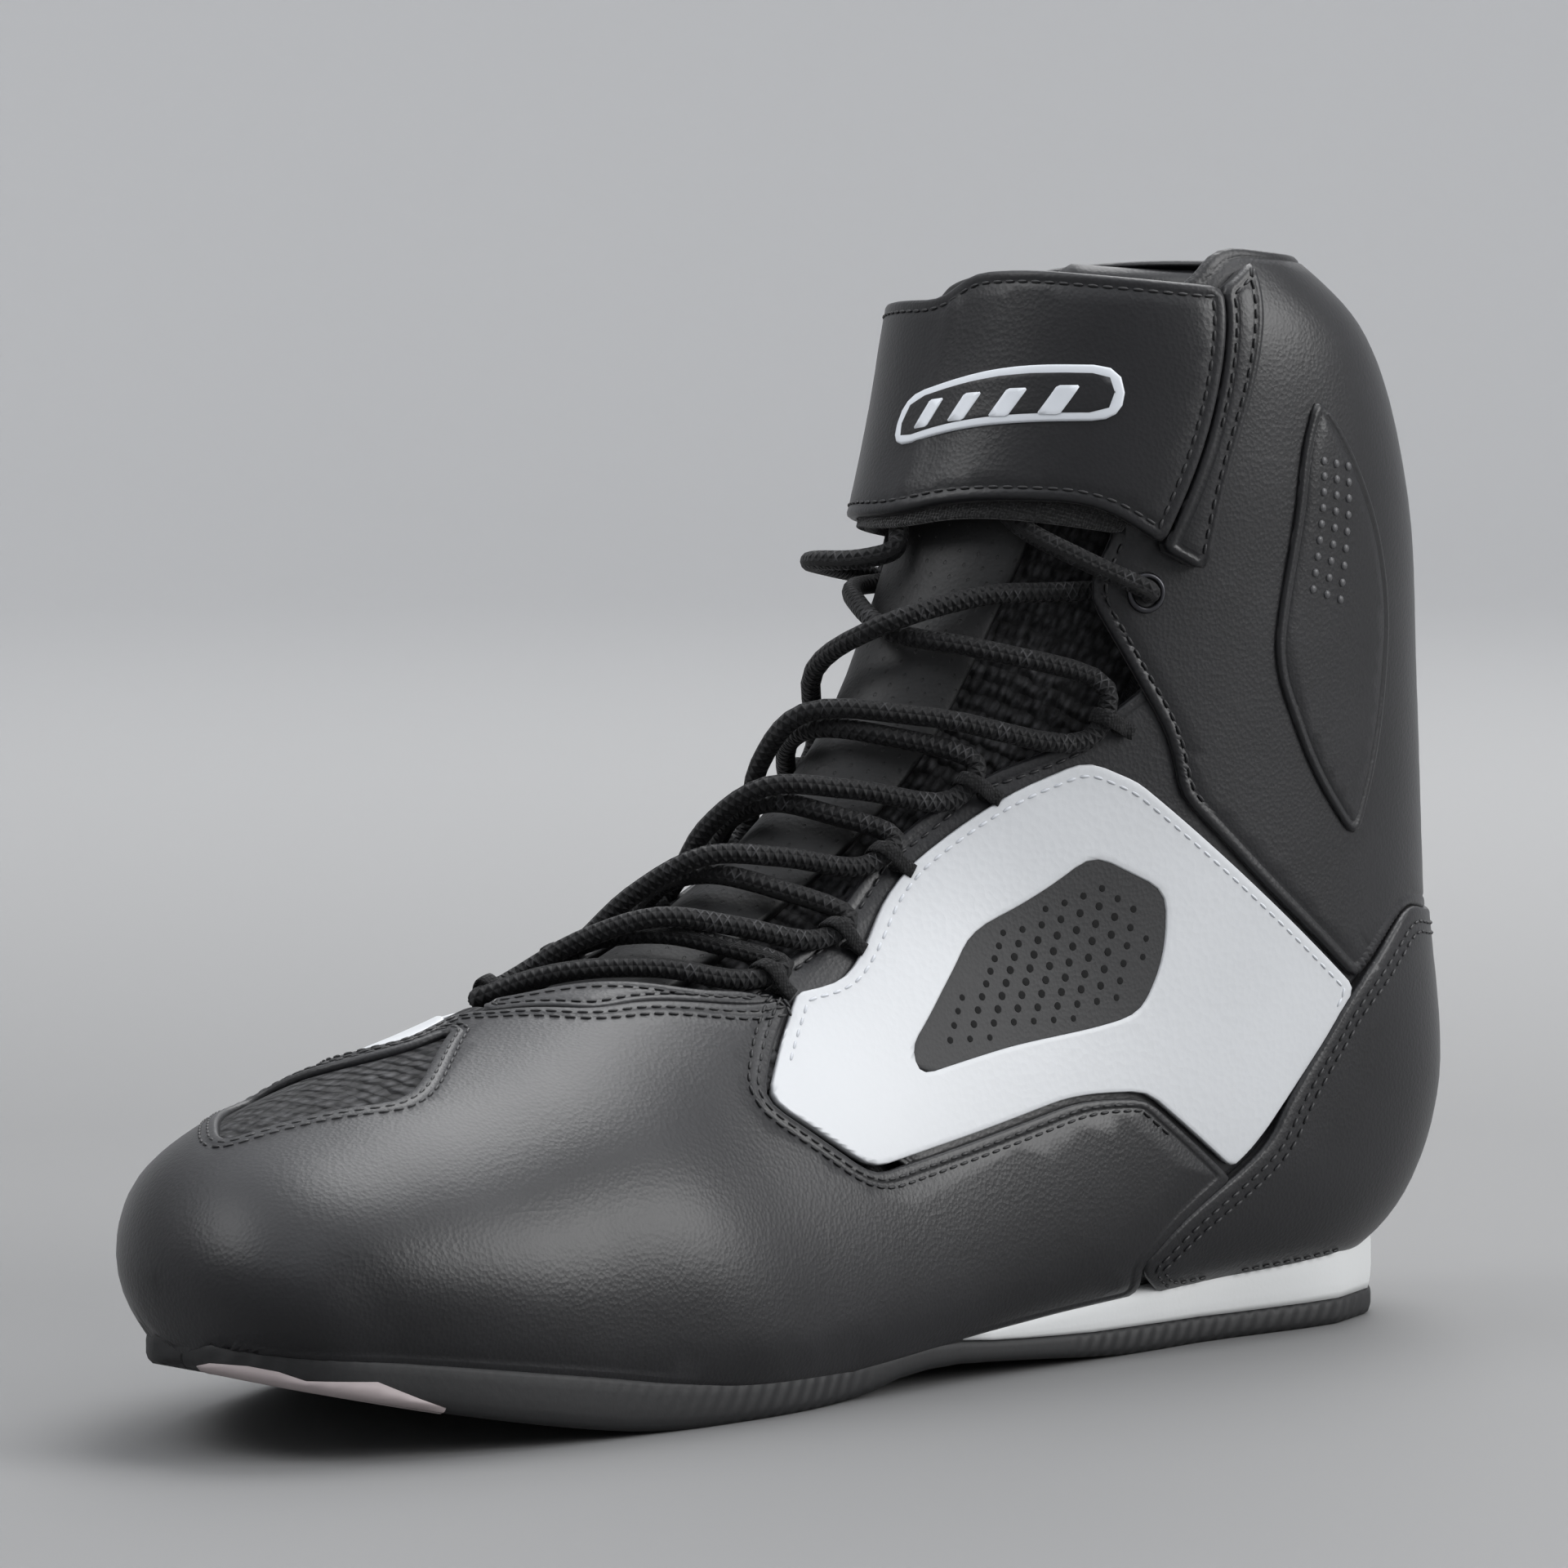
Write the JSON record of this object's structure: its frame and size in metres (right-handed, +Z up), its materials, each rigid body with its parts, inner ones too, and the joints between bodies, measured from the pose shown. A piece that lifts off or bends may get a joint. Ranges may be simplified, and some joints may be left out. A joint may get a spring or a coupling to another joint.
{
  "type": "ankle-high riding shoe",
  "caption": "Ankle-high lace-up riding shoe with a hook-and-loop ankle strap, white side panels, knit toe and a two-part sole.",
  "frame": {"origin": "on the ground under the middle of the shoe's bounding box", "axes": "-Y towards the toe, +X towards the inner side of the foot, +Z up from the ground"},
  "size_m": [0.0992, 0.2944, 0.1979],
  "materials": {
    "leather_black": "satin black microfibre with a fine grain",
    "synthetic_white": "smooth white coated synthetic leather, satin",
    "knit_grey": "chunky charcoal melange knit",
    "mesh_dark": "dark grey mesh",
    "lining_cloth": "black brushed lining cloth",
    "hook_loop_fabric": "black hook-and-loop tape",
    "webbing": "black woven webbing",
    "lace_cord": "round black braid with lighter flecks",
    "aglet_plastic": "clear-coated black lace tip",
    "rubber_black": "matt dark moulded rubber",
    "rubber_pink": "matt pinkish grey rubber",
    "foam_white": "matt white moulded foam",
    "badge_white": "matt white raised print",
    "board": "pressed fibre board",
    "steel": "spring steel",
    "eyelet_metal": "black enamelled eyelet, worn bright on its inner edge"
  },
  "bodies": {
    "shoe": {"outsole": "rubber_black", "toe_inlay": "rubber_pink", "heel_wedge": "foam_white", "shank": "steel", "insole_board": "board", "footbed": "lining_cloth", "toe_puff": "board", "heel_stiffener": "board", "vamp_lining": "lining_cloth", "lining_inner": "lining_cloth", "lining_outer": "lining_cloth", "knit_vamp": "knit_grey", "quarter_inner": "leather_black", "quarter_outer": "leather_black", "toe_wrap": "leather_black", "throat_piece": "leather_black", "overlay_inner": "synthetic_white", "overlay_outer": "synthetic_white", "vent_inner": "mesh_dark", "vent_outer": "mesh_dark", "heel_counter": "leather_black", "cuff_inner": "leather_black", "ankle_guard_inner": "leather_black", "eyelet_inner": "eyelet_metal", "gusset_inner": "mesh_dark", "cuff_outer": "leather_black", "ankle_guard_outer": "leather_black", "eyelet_outer": "eyelet_metal", "gusset_outer": "mesh_dark", "tongue_lower": "leather_black", "strap_base": "leather_black", "loop_patch": "hook_loop_fabric", "lace_loop_inner_1": "webbing", "lace_loop_inner_2": "webbing", "lace_loop_inner_3": "webbing", "lace_loop_inner_4": "webbing", "lace_loop_inner_5": "webbing", "lace_loop_outer_1": "webbing", "lace_loop_outer_2": "webbing", "lace_loop_outer_3": "webbing", "lace_loop_outer_4": "webbing", "lace_loop_outer_5": "webbing", "shoelace": "lace_cord", "aglet_inner": "aglet_plastic", "aglet_outer": "aglet_plastic"},
    "ankle_strap": {"strap": "leather_black", "strap_backing": "hook_loop_fabric", "strap_badge": "badge_white"},
    "tongue_top": {"tongue_upper": "leather_black"}
  },
  "joints": [
    {"name": "strap_hinge", "type": "hinge", "parent": "shoe", "child": "ankle_strap", "pos_m": [0.04134, 0.06535, 0.1675], "axis": [0.03, 0.2589, 0.9655], "range_deg": [0, 110]},
    {"name": "tongue_tilt", "type": "hinge", "parent": "shoe", "child": "tongue_top", "pos_m": [0.00034, 0.04285, 0.1677], "axis": [1, 0, 0], "range_deg": [0, 25]}
  ],
  "couplings": [
    {"joint": "tongue_tilt", "follows": "strap_hinge", "ratio": 0.227}
  ]
}
